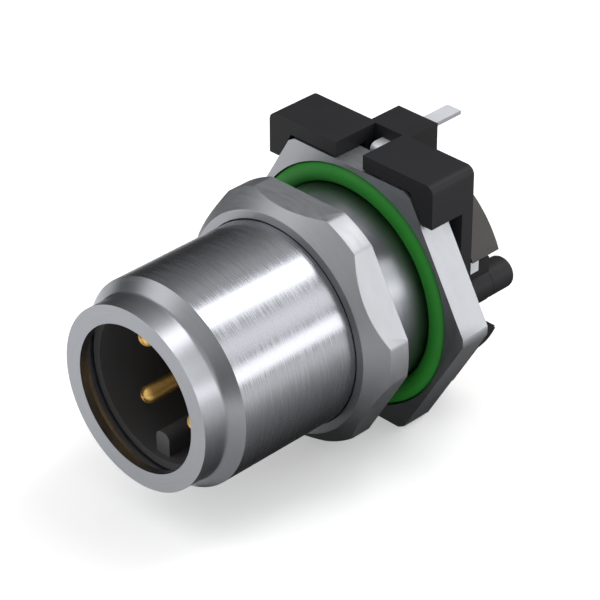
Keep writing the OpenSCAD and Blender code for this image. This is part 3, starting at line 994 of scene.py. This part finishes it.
tree.links.new(both.outputs[0], tree.nodes["Material Output"].inputs["Surface"])
floor.data.materials.append(floor_paint)
print("floor at z =", floor_z, "mm")

# %% [markdown]
# ## Light
# Metal shows its light as bands. Two strips stand behind the connector on the right, one low
# and one higher, and give the two white bands along the barrel. A weak panel between them keeps
# the metal pale there, and a soft lamp at the upper left is what the chamfers show. The low
# strip lights no matt surface, so that the black mouldings stay black on that side. The air all
# round is an even pale grey.

# %% Hang the lamps
def hang_lamp(name, direction, distance, width, length, radiance):
    """An area lamp that looks at the connector, with its sizes in metres; radiance is what a
    mirror would show of it."""
    place = Vector(direction).normalized() * distance
    bpy.ops.object.light_add(type="AREA", location=place)
    lamp = bpy.context.active_object
    lamp.name = name
    lamp.rotation_mode = "QUATERNION"
    lamp.rotation_quaternion = (-place).to_track_quat("-Z", "Y")
    lamp.data.shape = "RECTANGLE"
    lamp.data.size = width
    lamp.data.size_y = length
    lamp.data.energy = radiance * math.pi * width * length
    return lamp


low_strip = hang_lamp("low_strip", (0.775, 0.6, 0.19), distance=0.5, width=0.7, length=0.12,
                      radiance=2.85)
low_strip.visible_diffuse = False
hang_lamp("high_strip", (0.165, 0.6, 0.78), distance=0.5, width=0.16, length=0.5, radiance=4.4)
hang_lamp("between_strips", (0.54, 0.6, 0.5), distance=0.52, width=0.24, length=0.16,
          radiance=1.5)
hang_lamp("upper_left", (-0.62, -0.47, 0.63), distance=0.6, width=0.4, length=0.4,
          radiance=1.25)
print("lamps:", len(bpy.data.lights))

# %% Fill the room with even air
air_level = 0.75
world = bpy.data.worlds.new("studio_air")
bpy.context.scene.world = world
world.use_nodes = True
air = world.node_tree.nodes["Background"]
air.inputs["Color"].default_value = (1, 1, 1, 1)
air.inputs["Strength"].default_value = air_level
print("air level:", air_level)

# %% [markdown]
# ### Dark cards
# Polished metal in an all white room looks like paper. A photographer sets dark cards where
# the metal should look dark, just outside the picture. These cards are painted reflections:
# sheets that glow at a set level. Here one stands far off on the left, for the barrel's upper
# side, and one in front on the right, as a horizon in the chamfers. Three lie on the floor: beside
# the barrel for its lower side, as a painted shadow of the floor there, before the mouth, and out
# to the left. Only reflections see them: they hide nothing, and they cast no shadow.

# %% Make a card
def set_card(name, corners, axis, near, far, near_level, far_level, clear_glow=None):
    """A card in millimetres whose level changes along one axis.

    With clear_glow, that is its level all over, and the two levels say how clear it is."""
    bpy.ops.object.select_all(action="DESELECT")
    bpy.ops.mesh.primitive_plane_add(size=1)
    card = bpy.context.active_object
    card.name = name
    for vertex, corner in zip(card.data.vertices, corners):
        vertex.co = Vector(corner) * MM
    paint = bpy.data.materials.new(name)
    paint.use_nodes = True
    tree = paint.node_tree
    tree.nodes.remove(tree.nodes["Principled BSDF"])
    place = tree.nodes.new("ShaderNodeTexCoord")
    parts = tree.nodes.new("ShaderNodeSeparateXYZ")
    ramp = tree.nodes.new("ShaderNodeMapRange")
    for label, value in (("From Min", near * MM), ("From Max", far * MM),
                         ("To Min", near_level), ("To Max", far_level)):
        ramp.inputs[label].default_value = value
    glow = tree.nodes.new("ShaderNodeEmission")
    surface = tree.nodes["Material Output"].inputs["Surface"]
    tree.links.new(place.outputs["Object"], parts.inputs[0])
    tree.links.new(parts.outputs[axis], ramp.inputs["Value"])
    if clear_glow is None:
        tree.links.new(ramp.outputs["Result"], glow.inputs["Strength"])
        tree.links.new(glow.outputs[0], surface)
    else:
        glow.inputs["Strength"].default_value = clear_glow
        through = tree.nodes.new("ShaderNodeBsdfTransparent")
        mix = tree.nodes.new("ShaderNodeMixShader")
        tree.links.new(ramp.outputs["Result"], mix.inputs["Fac"])
        tree.links.new(glow.outputs[0], mix.inputs[1])
        tree.links.new(through.outputs[0], mix.inputs[2])
        tree.links.new(mix.outputs[0], surface)
    card.data.materials.append(paint)
    card.visible_camera = False
    card.visible_diffuse = False
    card.visible_transmission = False
    card.visible_shadow = False


# %% Make a card that lies on the floor
def lay_card(name, x_span, y_span, *ramp, **clear):
    """A card just above the floor, between two places along x and two along y."""
    above_floor = floor_z + 0.02
    set_card(name, [(x, y, above_floor) for y in y_span for x in x_span], *ramp, **clear)


# %% Set the five cards
far_left = -500
set_card("left_card", [(far_left, y, z) for z in (-20, 1100) for y in (-300, 1600)],
         "Z", 50, 1000, 0.055, 0.62)

barrel_front, mouth_front = -13.5, -13.6
# painted shadow: the floor's shade beside the barrel, dark near it, seen only in the barrel's
# reflection
lay_card("low_card", (1, 40), (barrel_front, 40), "X", 4, 34, 0.0, 0.85, clear_glow=0.03)
# painted reflection: the floor before the mouth, darker towards the mouth
lay_card("near_floor_card", (2.5, 40), (-30, mouth_front), "Y", -30, mouth_front, 1.0, 0.46)
lay_card("left_floor_card", (far_left, -18), (-5, 600), "X", -45, -18, 0.0, 1.0, clear_glow=0.08)

horizon_y, horizon_z = -60, 36
set_card("front_card", [(x, horizon_y, z) for z in (floor_z, horizon_z) for x in (10, 140)],
         "Z", 15, horizon_z, 0.22, 0.65)

# %% [markdown]
# ## Standard view
# The colours are shown as they are written.

# %% Set the view
bpy.context.scene.view_settings.view_transform = "Standard"
